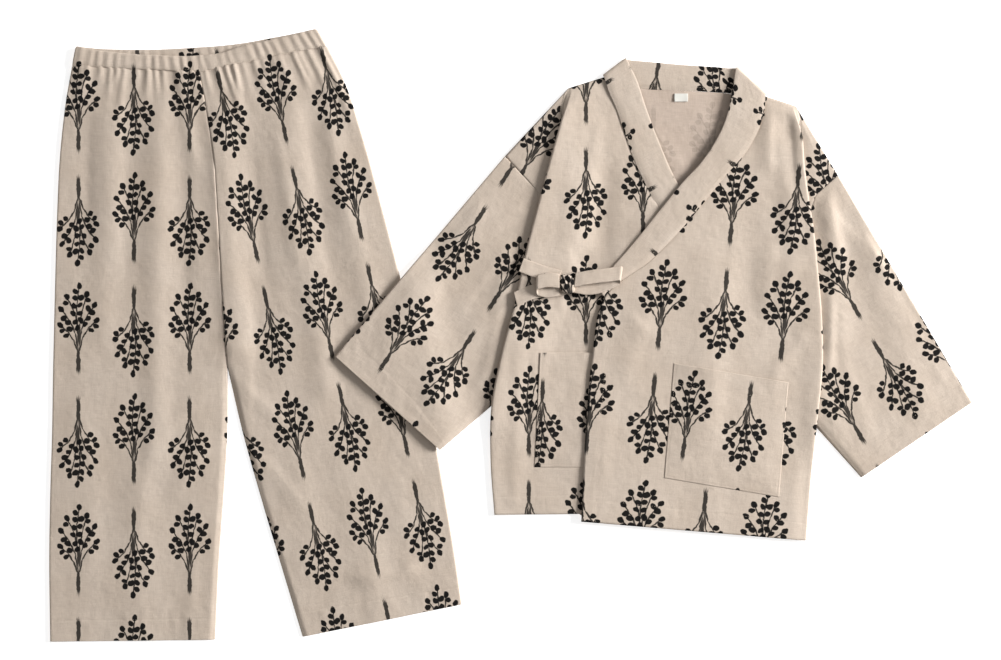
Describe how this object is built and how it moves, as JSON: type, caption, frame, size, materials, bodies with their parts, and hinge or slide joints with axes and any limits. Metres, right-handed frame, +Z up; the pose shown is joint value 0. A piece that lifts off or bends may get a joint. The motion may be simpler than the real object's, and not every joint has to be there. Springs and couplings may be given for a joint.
{
  "type": "kimono pajama set",
  "caption": "Child's cotton wrap jacket with drop-shoulder sleeves, patch pockets and a tied bow, laid flat beside its elastic-waist trousers.",
  "frame": {"origin": "bottom centre of the laid-out set's bounding box, on the surface that it lies on", "axes": "+X to the viewer's right along the two garments, +Y towards the collars, +Z up from the surface towards the viewer"},
  "size_m": [0.9681, 0.6427, 0.017],
  "materials": {
    "printed_cotton": "matt plain-weave cotton, beige with a black flower print",
    "label_tape": "woven off-white tape, left plain"
  },
  "bodies": {
    "root": {"trouser_right_leg": "printed_cotton", "trouser_left_leg": "printed_cotton", "waist_casing": "printed_cotton", "jacket_back": "printed_cotton", "jacket_right_front": "printed_cotton", "jacket_left_front": "printed_cotton", "right_sleeve": "printed_cotton", "left_sleeve": "printed_cotton", "neckband": "printed_cotton", "right_pocket": "printed_cotton", "left_pocket": "printed_cotton", "tie_right_loop": "printed_cotton", "tie_left_loop": "printed_cotton", "tie_upper_tail": "printed_cotton", "tie_lower_tail": "printed_cotton", "tie_band_end": "printed_cotton", "tie_knot": "printed_cotton", "size_label": "label_tape"}
  },
  "joints": []
}
